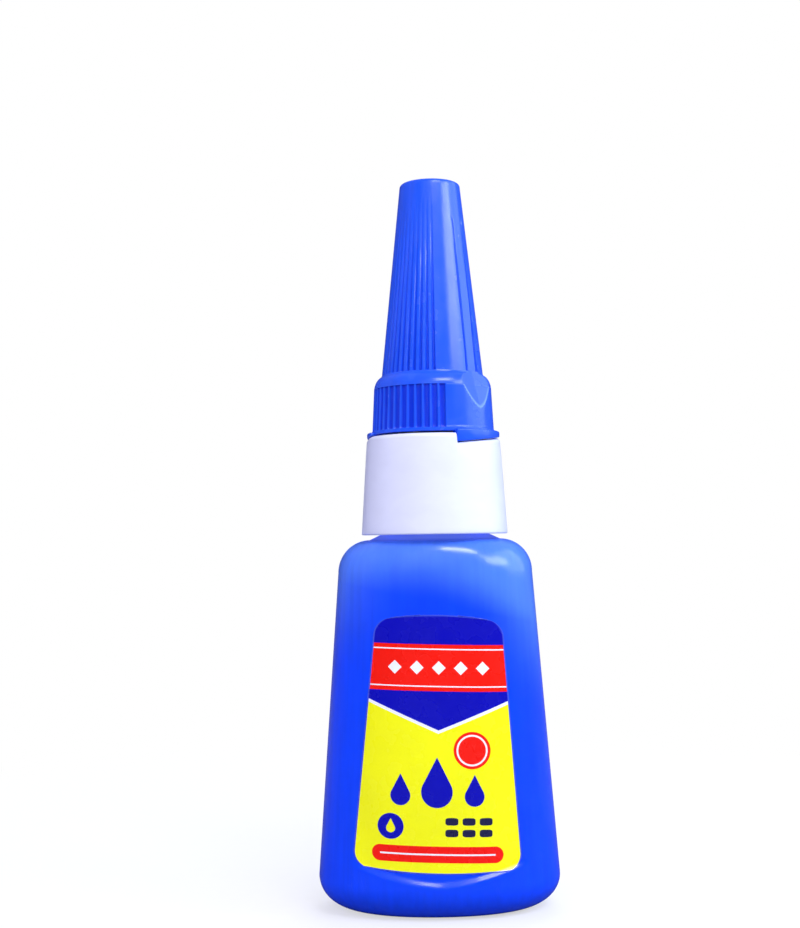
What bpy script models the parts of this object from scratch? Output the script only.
"""Squeeze bottle for about 20 g of instant glue, with a cam collar, a nozzle and a long ribbed cap.

Metres, +Z up. The bottle stands on the XY plane with its axis on Z and its label towards -Y.
Angles go round the axis from the front, counter-clockwise seen from above, in degrees.
"""

import math

import bmesh
import bpy
from mathutils import Matrix, Vector

MM = 0.001

# Clearances and mesh fineness
GAP = 0.3 * MM  # between pieces that touch or slide on each other
CUT_REACH = 2.0 * MM  # how far a cutter stands out of what it cuts
WELD = 0.001 * MM
ROUND_STEPS = 3
FOOT_STEPS = 6
SHOULDER_STEPS = 6
OVAL_SIDES = 48
COLLAR_SIDES = 60
CAP_SIDES = 84
NOZZLE_SIDES = 32
PLUG_SIDES = 28
PIN_SIDES = 12

# Bottle body: an oval that narrows upwards, blown with an even wall
FOOT_HALF_WIDTH = 18.3 * MM
FOOT_HALF_DEPTH = 11.5 * MM
TOP_HALF_WIDTH = 14.85 * MM
TOP_HALF_DEPTH = 10.3 * MM
ROUND = 2.0  # exponent of an oval's outline: this is a true ellipse, and more is squarer
SQUARENESS = 2.35
FOOT_SQUARENESS = 2.05
FOOT_ROUND_RISE = 5.0 * MM
FOOT_ROUND_SIDE = 6.5 * MM
FOOT_ROUND_FRONT = 5.0 * MM
SHOULDER_START = 51.0 * MM
SHOULDER_RISE = 4.9 * MM
SHOULDER_LAND_SIDE = 2.35 * MM  # how far the top of the shoulder lies outside the neck
SHOULDER_LAND_FRONT = 1.0 * MM
WALL = 1.0 * MM
PUSH_UP = 0.6 * MM
STANDING_RING = 2.4 * MM

# Neck, with the bead that the collar snaps over
NECK_RADIUS = 7.6 * MM
NECK_WALL = 1.3 * MM
NECK_HEIGHT = 10.0 * MM
NECK_FILLET = 0.6 * MM
NECK_FOOT_RISE = 0.7 * MM
NECK_CHAMFER = 0.4 * MM
BEAD_REACH = 0.5 * MM
BEAD_HEIGHT = 1.8 * MM
BEAD_UP_NECK = 3.4 * MM

# Glue fill
FILL_LEVEL = 47.0 * MM

# Front label: a sheet that follows the oval, with a domed top edge
LABEL_BOTTOM = 7.2 * MM
LABEL_TOP = 44.9 * MM
LABEL_HALF_WIDTH_LOW = 12.3 * MM
LABEL_HALF_WIDTH_HIGH = 9.15 * MM
LABEL_DOME = 0.6 * MM
LABEL_SAG = 0.55 * MM
LABEL_CORNER = 2.4 * MM
LABEL_THICKNESS = 0.2 * MM
LABEL_COLUMNS = 12
LABEL_ROWS = 16

# Collar: a tapered skirt round an inner wall that grips the neck, under a deck with the cam rim
COLLAR_FLARE = 1.0 * MM
COLLAR_WALL = 1.0 * MM
COLLAR_GROOVE = 0.6 * MM
GRIP_WALL = 0.65 * MM
COLLAR_LIFT = 0.15 * MM
COLLAR_CORNER = 0.7 * MM
COLLAR_EDGE = 0.25 * MM
DECK_THICKNESS = 2.8 * MM
GRIP_LIFT = 1.0 * MM
GROOVE_ROOF = 0.7 * MM

# Cam between the collar's rim and the cap's lugs: two ramps, half a turn apart
CAM_DROP = 1.5 * MM
CAM_START = 22.0
CAM_SWEEP = 90.0
CAM_STEPS = 12
CAM_RUN_OUT = 4.0  # the ramp cutter goes on this much past the ramp, clear of the rim
LUG_COUNT = 2
LUG_REACH = 0.8 * MM
LUG_INSET = 0.05 * MM
LUG_LIP = 0.6 * MM
LUG_EDGE = 0.15 * MM

# Nozzle: a plug in the neck, a flange on its rim, a base that the cap grips, and a fine tip
NOZZLE_FLANGE = 1.5 * MM
NOZZLE_STEP = 1.0 * MM  # from the neck's bore in to the nozzle's base
NOZZLE_PLUG_DEPTH = 6.0 * MM
NOZZLE_WALL = 1.3 * MM
NOZZLE_BASE_HEIGHT = 10.0 * MM
NOZZLE_SHOULDER = 1.0 * MM
NOZZLE_TIP_HEIGHT = 22.2 * MM
NOZZLE_TIP_RADIUS = 1.5 * MM
NOZZLE_TIP_ROUND = 0.4 * MM
ORIFICE_RADIUS = 0.8 * MM
ORIFICE_DEPTH = 11.0 * MM

# Cap: a gripping skirt, a shoulder and a long hollow cone
CAP_WALL = 1.3 * MM
SKIRT_HEIGHT = 6.6 * MM
SKIRT_DRAFT = 0.35 * MM
CAP_SHOULDER_ROUND = 1.65 * MM
CAP_SHOULDER_ROUND_RISE = 2.6 * MM
CAP_SHOULDER_TURN = 66.0
CAP_SHOULDER_RISE = 2.5 * MM
CAP_SHOULDER_STEP = 1.25 * MM
CONE_EDGE = 0.55 * MM
CONE_TIP_WALL = 1.0 * MM
TIP_THICKNESS = 2.6 * MM
SLEEVE_WALL = 1.1 * MM
SLEEVE_LIFT = 1.0 * MM

# Ribs of the cap, left between grooves, in two fields half a turn apart
RIB_CENTRE = -37.0
RIB_PITCH = 7.5
SKIRT_GROOVE_COUNT = 13
CONE_FLUTE_COUNT = 11
GROOVE_DEPTH = 0.3 * MM
GROOVE_HALF_WIDTH = 0.28 * MM
GROOVE_FLARE = 0.27  # sideways per unit outwards, on each flank
GROOVE_MARGIN = 0.55 * MM  # from the cap's foot up to the grooves
GROOVE_OVERRUN = 0.3 * MM  # how far they run on into the shoulder
FLUTE_DEPTH = 0.35 * MM
FLUTE_HALF_WIDTH = 0.13 * MM
FLUTE_FLARE = 0.4
FLUTE_END_HALF_WIDTH = 0.03 * MM
FLUTE_FADE = 2.6 * MM  # the flutes run out this far below the top of the cone

# Pointer on the cap: a flat strip down the cone and a facet through the shoulder
POINTER_FROM_RIBS = 90.0
STRIP_DEPTH = 0.28 * MM
STRIP_HALF_WIDTH = 1.45 * MM
STRIP_HALF_WIDTH_TOP = 0.6 * MM
STRIP_FADE = 6.0 * MM
FACET_DEPTH = 0.35 * MM
FACET_LENGTH = 5.6 * MM
FACET_KNEE = 2.4 * MM
FACET_KNEE_OUT = 1.05 * MM
FACET_HALF_WIDTH = 6.0 * MM

# Seal plug in the cap's tip, and the steel pin that keeps the nozzle clear
PLUG_RADIUS = 3.3 * MM
PLUG_HEIGHT = 5.2 * MM
PLUG_CHAMFER = 0.4 * MM
PIN_RADIUS = 0.4 * MM
PIN_SEAT_DEPTH = 3.7 * MM
PIN_REACH = 8.8 * MM
PIN_POINT = 0.6 * MM

# Levels and radii that follow from the sizes above
NECK_BASE = SHOULDER_START + SHOULDER_RISE + NECK_FOOT_RISE
NECK_RIM = NECK_BASE + NECK_HEIGHT
NECK_BORE = NECK_RADIUS - NECK_WALL
FLOOR = WALL + PUSH_UP
FLANGE_UNDER = NECK_RIM + GAP
FLANGE_TOP = FLANGE_UNDER + NOZZLE_FLANGE
DECK_UNDER = FLANGE_TOP + GAP
RIM_TOP = DECK_UNDER + DECK_THICKNESS
COLLAR_FOOT = NECK_BASE + COLLAR_LIFT
COLLAR_TOP_RADIUS = NECK_RADIUS + GAP + GRIP_WALL + COLLAR_GROOVE + COLLAR_WALL
COLLAR_FOOT_RADIUS = COLLAR_TOP_RADIUS + COLLAR_FLARE
NOZZLE_BASE_RADIUS = NECK_BORE - NOZZLE_STEP
NOZZLE_BASE_TOP = FLANGE_TOP + NOZZLE_BASE_HEIGHT
NOZZLE_TIP = NOZZLE_BASE_TOP + NOZZLE_SHOULDER + NOZZLE_TIP_HEIGHT
SLEEVE_BORE = NOZZLE_BASE_RADIUS + GAP
LUG_RADIUS = COLLAR_TOP_RADIUS - LUG_INSET
SKIRT_FOOT_RADIUS = LUG_RADIUS - LUG_REACH
SKIRT_TOP_RADIUS = SKIRT_FOOT_RADIUS - SKIRT_DRAFT
SKIRT_BORE = SKIRT_FOOT_RADIUS - CAP_WALL
CAP_FOOT = RIM_TOP + GAP
SKIRT_TOP = CAP_FOOT + SKIRT_HEIGHT
CONE_FOOT = SKIRT_TOP + CAP_SHOULDER_RISE
CONE_FOOT_RADIUS = SKIRT_TOP_RADIUS - CAP_SHOULDER_STEP
PLUG_BOTTOM = NOZZLE_TIP + GAP
PLUG_TOP = PLUG_BOTTOM + PLUG_HEIGHT
SOCKET_RADIUS = PLUG_RADIUS + GAP
SOCKET_TOP = PLUG_TOP + GAP
CONE_TOP = SOCKET_TOP + TIP_THICKNESS
CONE_TOP_RADIUS = SOCKET_RADIUS + CONE_TIP_WALL
PIN_TOP = PLUG_BOTTOM + PIN_SEAT_DEPTH
PIN_TIP = NOZZLE_TIP - PIN_REACH


def clear_scene():
    for item in list(bpy.data.objects):
        bpy.data.objects.remove(item, do_unlink=True)


def mix(start, end, share):
    return start + (end - start) * share


def around(angle, radius, height, sideways=0.0):
    """A point at an angle round the axis from the front."""
    point = Vector((sideways, -radius, height))
    return Matrix.Rotation(math.radians(angle), 4, "Z") @ point


def arc(centre, out, rise, start, end):
    """Points (radius, height) on a corner rounded by so much out and up, from one angle to another."""
    points = []
    for step in range(ROUND_STEPS + 1):
        angle = math.radians(mix(start, end, step / ROUND_STEPS))
        points.append((centre[0] + out * math.cos(angle), centre[1] + rise * math.sin(angle)))
    return points


def make_material(name, colour, roughness, metallic=0.0, transmission=0.0):
    material = bpy.data.materials.new(name)
    material.use_nodes = True
    shader = material.node_tree.nodes["Principled BSDF"]
    shader.inputs["Base Color"].default_value = (*colour, 1.0)
    shader.inputs["Roughness"].default_value = roughness
    shader.inputs["Metallic"].default_value = metallic
    shader.inputs["Transmission Weight"].default_value = transmission
    material.diffuse_color = (*colour, 1.0)
    return material


def make_object(name, bm, material=None, smooth_angle=35.0):
    """Turn a bmesh into a named object, smooth but for its hard edges."""
    bmesh.ops.recalc_face_normals(bm, faces=bm.faces)
    mesh = bpy.data.meshes.new(name)
    bm.to_mesh(mesh)
    bm.free()
    mesh.shade_smooth()
    mesh.set_sharp_from_angle(angle=math.radians(smooth_angle))
    if material is not None:
        mesh.materials.append(material)
    item = bpy.data.objects.new(name, mesh)
    bpy.context.scene.collection.objects.link(item)
    return item


def loft(bm, rings):
    """Skin a run of rings with equally many points, one to the next, and close both ends."""
    rows = [[bm.verts.new(point) for point in ring] for ring in rings]
    for lower, upper in zip(rows, rows[1:]):
        for side in range(len(lower)):
            following = (side + 1) % len(lower)
            bm.faces.new((lower[side], lower[following], upper[following], upper[side]))
    bm.faces.new(reversed(rows[0]))
    bm.faces.new(rows[-1])


def lathe(outline, sides):
    """Turn an outline of (radius, height) points round the axis; one that ends on it stays open."""
    bm = bmesh.new()
    corners = [bm.verts.new((radius, 0.0, height)) for radius, height in outline]
    pairs = list(zip(corners, corners[1:]))
    if outline[0][0] > 0.0:
        pairs.append((corners[-1], corners[0]))
    edges = [bm.edges.new(pair) for pair in pairs]
    bmesh.ops.spin(
        bm, geom=corners + edges, cent=(0.0, 0.0, 0.0), axis=(0.0, 0.0, 1.0),
        angle=2.0 * math.pi, steps=sides, use_merge=True,
    )
    bmesh.ops.remove_doubles(bm, verts=bm.verts, dist=WELD)
    return bm


def boolean(target, tool, operation):
    """Keep the tool out of renders and let it cut or join its target."""
    tool.hide_render = True
    tool.display_type = "WIRE"
    modifier = target.modifiers.new(tool.name, "BOOLEAN")
    modifier.operation = operation
    modifier.solver = "EXACT"
    modifier.object = tool


def oval(half_width, half_depth, squareness, height):
    """A ring of points on a superellipse."""
    points = []
    for side in range(OVAL_SIDES):
        angle = 2.0 * math.pi * side / OVAL_SIDES
        across = math.cos(angle)
        along = math.sin(angle)
        x = half_width * math.copysign(abs(across) ** (2.0 / squareness), across)
        y = half_depth * math.copysign(abs(along) ** (2.0 / squareness), along)
        points.append((x, y, height))
    return points


def body_halves(height):
    """Half width and half depth of the body's straight stretch at a height."""
    share = (height - FOOT_ROUND_RISE) / (SHOULDER_START - FOOT_ROUND_RISE)
    half_width = mix(FOOT_HALF_WIDTH, TOP_HALF_WIDTH, share)
    half_depth = mix(FOOT_HALF_DEPTH, TOP_HALF_DEPTH, share)
    return half_width, half_depth


def foot_rings(inset, floor):
    """The rounded foot of a skin that lies an inset inside the body, standing on a floor."""
    rings = []
    for step in range(FOOT_STEPS + 1):
        angle = math.radians(90.0 * step / FOOT_STEPS)
        half_width = FOOT_HALF_WIDTH - FOOT_ROUND_SIDE + (FOOT_ROUND_SIDE - inset) * math.sin(angle)
        half_depth = FOOT_HALF_DEPTH - FOOT_ROUND_FRONT + (FOOT_ROUND_FRONT - inset) * math.sin(angle)
        height = FOOT_ROUND_RISE - (FOOT_ROUND_RISE - floor) * math.cos(angle)
        squareness = mix(FOOT_SQUARENESS, SQUARENESS, math.sin(angle))
        rings.append(oval(half_width, half_depth, squareness, height))
    return rings


def side_ring(inset, height):
    half_width, half_depth = body_halves(height)
    return oval(half_width - inset, half_depth - inset, SQUARENESS, height)


def shoulder_rings(inset):
    """The rounded shoulder, from the body's oval to nearly the round of the neck."""
    rings = []
    for step in range(SHOULDER_STEPS + 1):
        angle = math.radians(90.0 * step / SHOULDER_STEPS)
        half_width = mix(NECK_RADIUS + SHOULDER_LAND_SIDE, TOP_HALF_WIDTH, math.cos(angle)) - inset
        half_depth = mix(NECK_RADIUS + SHOULDER_LAND_FRONT, TOP_HALF_DEPTH, math.cos(angle)) - inset
        height = SHOULDER_START + (SHOULDER_RISE - inset) * math.sin(angle)
        rings.append(oval(half_width, half_depth, mix(SQUARENESS, ROUND, math.sin(angle)), height))
    return rings


def circle(radius, height):
    return oval(radius, radius, ROUND, height)


def neck_rings():
    """The outside of the neck, from its foot over the bead to the rim, and its bore back down."""
    bead = NECK_BASE + BEAD_UP_NECK
    outline = [
        (NECK_RADIUS + NECK_FILLET, NECK_BASE),
        (NECK_RADIUS, NECK_BASE + NECK_FILLET),
        (NECK_RADIUS, bead),
        (NECK_RADIUS + BEAD_REACH, bead + BEAD_REACH / 2.0),
        (NECK_RADIUS + BEAD_REACH, bead + BEAD_HEIGHT - BEAD_REACH),
        (NECK_RADIUS, bead + BEAD_HEIGHT),
        (NECK_RADIUS, NECK_RIM - NECK_CHAMFER),
        (NECK_RADIUS - NECK_CHAMFER, NECK_RIM),
        (NECK_BORE, NECK_RIM),
        (NECK_BORE, NECK_BASE + NECK_FILLET - WALL),
        (NECK_BORE + NECK_FILLET, NECK_BASE - WALL),
    ]
    return [circle(radius, height) for radius, height in outline]


def make_bottle(material):
    """One skin: the raised centre of the base, up the outside, over the rim and down the inside."""
    recess = STANDING_RING + PUSH_UP
    flat_width = FOOT_HALF_WIDTH - FOOT_ROUND_SIDE
    flat_depth = FOOT_HALF_DEPTH - FOOT_ROUND_FRONT
    rings = [
        oval(flat_width - recess, flat_depth - recess, FOOT_SQUARENESS, PUSH_UP),
        oval(flat_width - STANDING_RING, flat_depth - STANDING_RING, FOOT_SQUARENESS, 0.0),
    ]
    rings += foot_rings(0.0, 0.0)
    rings += shoulder_rings(0.0)
    rings += neck_rings()
    rings += reversed(shoulder_rings(WALL))
    rings += reversed(foot_rings(WALL, FLOOR))
    bm = bmesh.new()
    loft(bm, rings)
    return make_object("bottle", bm, material)


def make_glue(material):
    """The liquid, which fills the body's inside up to its level."""
    inset = WALL + GAP
    rings = foot_rings(inset, FLOOR + GAP)
    rings.append(side_ring(inset, FILL_LEVEL))
    bm = bmesh.new()
    loft(bm, rings)
    return make_object("glue", bm, material)


def label_half_width(share):
    """Half width of the label at a share of its height, with its corners rounded off."""
    straight = mix(LABEL_HALF_WIDTH_LOW, LABEL_HALF_WIDTH_HIGH, share)
    to_end = min(share, 1.0 - share) * (LABEL_TOP - LABEL_BOTTOM)
    if to_end >= LABEL_CORNER:
        return straight
    rounding = LABEL_CORNER - to_end
    return straight - LABEL_CORNER + math.sqrt(LABEL_CORNER ** 2 - rounding ** 2)


def label_share(row):
    """Rows stand closer together towards the label's ends, where its corners turn."""
    return 0.5 - 0.5 * math.cos(math.pi * row / LABEL_ROWS)


def label_point(across, share):
    """A point of the label on the body's oval, from its place across (-1 to 1) and up (0 to 1)."""
    x = across * label_half_width(share)
    low = LABEL_BOTTOM + LABEL_SAG * across ** 2
    high = LABEL_TOP - LABEL_DOME * across ** 2
    height = mix(low, high, share)
    half_width, half_depth = body_halves(height)
    turn = (abs(x) / (half_width + GAP)) ** SQUARENESS
    y = -(half_depth + GAP) * (1.0 - turn) ** (1.0 / SQUARENESS)
    return Vector((x, y, height))


def make_label(material):
    """A grid laid on the front of the body and given its thickness outwards."""
    bm = bmesh.new()
    grid = bmesh.ops.create_grid(bm, x_segments=LABEL_COLUMNS, y_segments=LABEL_ROWS, size=1.0)
    for vertex in grid["verts"]:
        row = round((vertex.co.y + 1.0) / 2.0 * LABEL_ROWS)
        vertex.co = label_point(vertex.co.x, label_share(row))
    label = make_object("front_label", bm, material)
    faces_front = label.data.polygons[0].normal.y < 0.0
    thickness = label.modifiers.new("thickness", "SOLIDIFY")
    thickness.thickness = LABEL_THICKNESS
    thickness.offset = 1.0 if faces_front else -1.0
    return label


def collar_radius(height):
    """Outer radius of the collar's tapered skirt at a height."""
    share = (height - COLLAR_FOOT) / (RIM_TOP - COLLAR_FOOT)
    return mix(COLLAR_FOOT_RADIUS, COLLAR_TOP_RADIUS, share)


def collar_outline():
    """From the outer foot over the rim to the nozzle's hole, then down the grip and the groove."""
    hole = NOZZLE_BASE_RADIUS + GAP
    grip = NECK_RADIUS + GAP
    pocket = grip + BEAD_REACH
    bead = NECK_BASE + BEAD_UP_NECK
    grip_foot = COLLAR_FOOT + GRIP_LIFT
    groove_top = DECK_UNDER - GROOVE_ROOF
    corner_low = RIM_TOP - COLLAR_CORNER
    corner_centre = (collar_radius(corner_low) - COLLAR_CORNER, corner_low)
    outline = [
        (collar_radius(COLLAR_FOOT) - COLLAR_EDGE, COLLAR_FOOT),
        (collar_radius(COLLAR_FOOT + COLLAR_EDGE), COLLAR_FOOT + COLLAR_EDGE),
    ]
    outline += arc(corner_centre, COLLAR_CORNER, COLLAR_CORNER, 0.0, 90.0)
    outline += [
        (hole, RIM_TOP),
        (hole, DECK_UNDER),
        (grip, DECK_UNDER),
        (grip, bead + BEAD_HEIGHT + GAP),
        (pocket, bead + BEAD_HEIGHT + GAP - BEAD_REACH),
        (pocket, bead - GAP),
        (grip, bead - GAP),
        (grip, grip_foot),
        (collar_radius(grip_foot) - COLLAR_WALL - COLLAR_GROOVE, grip_foot),
        (collar_radius(groove_top) - COLLAR_WALL - COLLAR_GROOVE, groove_top),
        (collar_radius(groove_top) - COLLAR_WALL, groove_top),
        (collar_radius(COLLAR_FOOT) - COLLAR_WALL, COLLAR_FOOT),
    ]
    return outline


def ramp_wedge(bm, lug, inner, outer, start, sweep, low, top):
    """A ring sector under a flat top whose underside climbs at the cam's slope."""
    sections = []
    for step in range(CAM_STEPS + 1):
        turned = start + sweep * step / CAM_STEPS
        angle = CAM_START + 360.0 * lug / LUG_COUNT + turned
        height = low + CAM_DROP * turned / CAM_SWEEP
        sections.append([
            around(angle, inner, height),
            around(angle, outer, height),
            around(angle, outer, top),
            around(angle, inner, top),
        ])
    loft(bm, sections)


def make_collar(material):
    collar = make_object("collar", lathe(collar_outline(), COLLAR_SIDES), material)
    bm = bmesh.new()
    for lug in range(LUG_COUNT):
        ramp_wedge(
            bm, lug, SKIRT_BORE - GAP, COLLAR_TOP_RADIUS + CUT_REACH,
            0.0, CAM_SWEEP + CAM_RUN_OUT, RIM_TOP - CAM_DROP, RIM_TOP + CUT_REACH,
        )
    boolean(collar, make_object("collar_ramp_cutter", bm), "DIFFERENCE")
    return collar


def make_nozzle(material):
    """Turned from the tip's orifice, down the outside to the plug and up the inside."""
    plug_radius = NECK_BORE - GAP
    plug_foot = NECK_RIM - NOZZLE_PLUG_DEPTH
    shoulder_top = NOZZLE_BASE_TOP + NOZZLE_SHOULDER
    shoulder_radius = NOZZLE_BASE_RADIUS - NOZZLE_SHOULDER
    bore = NOZZLE_BASE_RADIUS - NOZZLE_WALL
    outline = [
        (ORIFICE_RADIUS, NOZZLE_TIP),
        (NOZZLE_TIP_RADIUS - NOZZLE_TIP_ROUND, NOZZLE_TIP),
        (NOZZLE_TIP_RADIUS, NOZZLE_TIP - NOZZLE_TIP_ROUND),
        (shoulder_radius, shoulder_top),
        (NOZZLE_BASE_RADIUS, NOZZLE_BASE_TOP),
        (NOZZLE_BASE_RADIUS, FLANGE_TOP),
        (NECK_RADIUS, FLANGE_TOP),
        (NECK_RADIUS, FLANGE_UNDER),
        (plug_radius, FLANGE_UNDER),
        (plug_radius, plug_foot + NOZZLE_TIP_ROUND),
        (plug_radius - NOZZLE_TIP_ROUND, plug_foot),
        (plug_radius - NOZZLE_WALL, plug_foot),
        (plug_radius - NOZZLE_WALL, FLANGE_UNDER),
        (bore, FLANGE_TOP),
        (bore, NOZZLE_BASE_TOP),
        (shoulder_radius - NOZZLE_WALL, shoulder_top),
        (ORIFICE_RADIUS, NOZZLE_TIP - ORIFICE_DEPTH),
    ]
    return make_object("nozzle", lathe(outline, NOZZLE_SIDES), material)


def cap_outline():
    """From the tip's centre down the outside to the skirt's foot, then up the inside."""
    round_centre = (CONE_TOP_RADIUS - CONE_EDGE, CONE_TOP - CONE_EDGE)
    shoulder_centre = (SKIRT_TOP_RADIUS - CAP_SHOULDER_ROUND, SKIRT_TOP)
    roof = SKIRT_TOP - CAP_WALL
    sleeve_foot = CAP_FOOT + SLEEVE_LIFT
    outline = [(0.0, CONE_TOP)]
    outline += arc(round_centre, CONE_EDGE, CONE_EDGE, 90.0, 0.0)
    outline.append((CONE_FOOT_RADIUS, CONE_FOOT))
    outline += arc(
        shoulder_centre, CAP_SHOULDER_ROUND, CAP_SHOULDER_ROUND_RISE, CAP_SHOULDER_TURN, 0.0,
    )
    outline += [
        (SKIRT_FOOT_RADIUS, CAP_FOOT),
        (SKIRT_BORE, CAP_FOOT),
        (SKIRT_BORE - SKIRT_DRAFT, roof),
        (SLEEVE_BORE + SLEEVE_WALL, roof),
        (SLEEVE_BORE + SLEEVE_WALL, sleeve_foot),
        (SLEEVE_BORE, sleeve_foot),
        (SLEEVE_BORE, NOZZLE_BASE_TOP),
        (SOCKET_RADIUS, PLUG_BOTTOM),
        (SOCKET_RADIUS, SOCKET_TOP),
        (0.0, SOCKET_TOP),
    ]
    return outline


def cone_radius(height):
    share = (height - CONE_FOOT) / (CONE_TOP - CONE_FOOT)
    return mix(CONE_FOOT_RADIUS, CONE_TOP_RADIUS, share)


def skirt_radius(height):
    share = (height - CAP_FOOT) / SKIRT_HEIGHT
    return mix(SKIRT_FOOT_RADIUS, SKIRT_TOP_RADIUS, share)


def slot(bm, angle, low, high, flare):
    """A bar that cuts a groove, from the (floor radius, half width, height) of its two ends."""
    sections = []
    for floor, half_width, height in (low, high):
        mouth = floor + CUT_REACH
        wide = half_width + flare * CUT_REACH
        sections.append([
            around(angle, floor, height, -half_width),
            around(angle, floor, height, half_width),
            around(angle, mouth, height, wide),
            around(angle, mouth, height, -wide),
        ])
    loft(bm, sections)


def field_angles(count):
    """Angles of the grooves in both fields, spread evenly about each field's centre."""
    angles = []
    for field in range(LUG_COUNT):
        for groove in range(count):
            offset = (groove - (count - 1) / 2.0) * RIB_PITCH
            angles.append(RIB_CENTRE + 360.0 * field / LUG_COUNT + offset)
    return angles


def make_groove_cutters():
    """Square-ended grooves round the skirt, and flutes up the cone that fade out."""
    bm = bmesh.new()
    low = CAP_FOOT + GROOVE_MARGIN
    high = SKIRT_TOP + GROOVE_OVERRUN
    for angle in field_angles(SKIRT_GROOVE_COUNT):
        slot(
            bm, angle,
            (skirt_radius(low) - GROOVE_DEPTH, GROOVE_HALF_WIDTH, low),
            (skirt_radius(high) - GROOVE_DEPTH, GROOVE_HALF_WIDTH, high),
            GROOVE_FLARE,
        )
    fade = CONE_TOP - FLUTE_FADE
    for angle in field_angles(CONE_FLUTE_COUNT):
        slot(
            bm, angle,
            (cone_radius(CONE_FOOT) - FLUTE_DEPTH, FLUTE_HALF_WIDTH, CONE_FOOT),
            (cone_radius(fade), FLUTE_END_HALF_WIDTH, fade),
            FLUTE_FLARE,
        )
    return make_object("cap_groove_cutter", bm)


def slab(bm, angle, outline, half_widths):
    """A cutter with an outline of (radius, height) points and a half width at each of them."""
    sections = []
    for side in (-1.0, 1.0):
        sections.append([
            around(angle, radius, height, side * half_width)
            for (radius, height), half_width in zip(outline, half_widths)
        ])
    loft(bm, sections)


def make_pointer_cutters():
    """The flat strip down the cone, and the facet that it ends in."""
    fade = CONE_TOP - STRIP_FADE
    strip_foot = cone_radius(CONE_FOOT) - STRIP_DEPTH
    facet_top = cone_radius(CONE_FOOT) - FACET_DEPTH
    facet_foot = CONE_FOOT - FACET_LENGTH
    reach = LUG_RADIUS + CUT_REACH
    strip = [
        (strip_foot, CONE_FOOT),
        (strip_foot + CUT_REACH, CONE_FOOT),
        (cone_radius(fade) + CUT_REACH, fade),
        (cone_radius(fade), fade),
    ]
    widths = [STRIP_HALF_WIDTH, STRIP_HALF_WIDTH, STRIP_HALF_WIDTH_TOP, STRIP_HALF_WIDTH_TOP]
    facet = [
        (facet_top, CONE_FOOT + GAP),
        (facet_top + FACET_KNEE_OUT, CONE_FOOT - FACET_KNEE),
        (skirt_radius(facet_foot), facet_foot),
        (reach, facet_foot),
        (reach, CONE_FOOT + GAP),
    ]
    bm = bmesh.new()
    for field in range(LUG_COUNT):
        angle = RIB_CENTRE + POINTER_FROM_RIBS + 360.0 * field / LUG_COUNT
        slab(bm, angle, strip, widths)
    strips = make_object("cap_strip_cutter", bm)
    bm = bmesh.new()
    for field in range(LUG_COUNT):
        angle = RIB_CENTRE + POINTER_FROM_RIBS + 360.0 * field / LUG_COUNT
        slab(bm, angle, facet, [FACET_HALF_WIDTH] * len(facet))
    return strips, make_object("cap_facet_cutter", bm)


def make_lugs():
    """Two lugs under the skirt that fill the collar's ramps, short of them by the gap."""
    clear_angle = math.degrees(GAP / LUG_RADIUS)
    bm = bmesh.new()
    for lug in range(LUG_COUNT):
        ramp_wedge(
            bm, lug, SKIRT_BORE, LUG_RADIUS, clear_angle, CAM_SWEEP - clear_angle,
            RIM_TOP - CAM_DROP + GAP, RIM_TOP + LUG_LIP,
        )
    lugs = make_object("cap_lugs", bm)
    edges = lugs.modifiers.new("edges", "BEVEL")
    edges.width = LUG_EDGE
    edges.segments = 2
    edges.limit_method = "ANGLE"
    return lugs


def make_cap(material):
    cap = make_object("cap", lathe(cap_outline(), CAP_SIDES), material)
    boolean(cap, make_lugs(), "UNION")
    boolean(cap, make_groove_cutters(), "DIFFERENCE")
    for cutter in make_pointer_cutters():
        boolean(cap, cutter, "DIFFERENCE")
    return cap


def make_pin_plug(material):
    """A soft stopper over the nozzle's tip, with a blind hole that holds the pin."""
    hole = PIN_RADIUS + GAP
    outline = [
        (0.0, PIN_TOP + GAP),
        (hole, PIN_TOP + GAP),
        (hole, PLUG_BOTTOM),
        (PLUG_RADIUS - PLUG_CHAMFER, PLUG_BOTTOM),
        (PLUG_RADIUS, PLUG_BOTTOM + PLUG_CHAMFER),
        (PLUG_RADIUS, PLUG_TOP - PLUG_CHAMFER),
        (PLUG_RADIUS - PLUG_CHAMFER, PLUG_TOP),
        (0.0, PLUG_TOP),
    ]
    return make_object("pin_plug", lathe(outline, PLUG_SIDES), material)


def make_pin(material):
    """The steel pin, pointed where it enters the nozzle's orifice."""
    outline = [
        (0.0, PIN_TOP),
        (PIN_RADIUS, PIN_TOP),
        (PIN_RADIUS, PIN_TIP + PIN_POINT),
        (0.0, PIN_TIP),
    ]
    return make_object("anti_clog_pin", lathe(outline, PIN_SIDES), material)


def main():
    clear_scene()
    make_bottle(make_material("blue_bottle_polyethylene", (0.02, 0.08, 0.85), 0.35, transmission=0.2))
    make_glue(make_material("clear_glue", (0.75, 0.80, 0.95), 0.1, transmission=0.9))
    make_label(make_material("printed_label_film", (0.95, 0.90, 0.05), 0.4))
    make_collar(make_material("white_polypropylene", (0.85, 0.86, 0.92), 0.4))
    make_nozzle(make_material("natural_polyethylene", (0.88, 0.88, 0.86), 0.4))
    make_cap(make_material("blue_cap_polypropylene", (0.03, 0.12, 0.9), 0.35))
    make_pin_plug(make_material("soft_seal_polyethylene", (0.85, 0.85, 0.83), 0.5))
    make_pin(make_material("stainless_steel", (0.6, 0.6, 0.62), 0.3, metallic=1.0))


main()
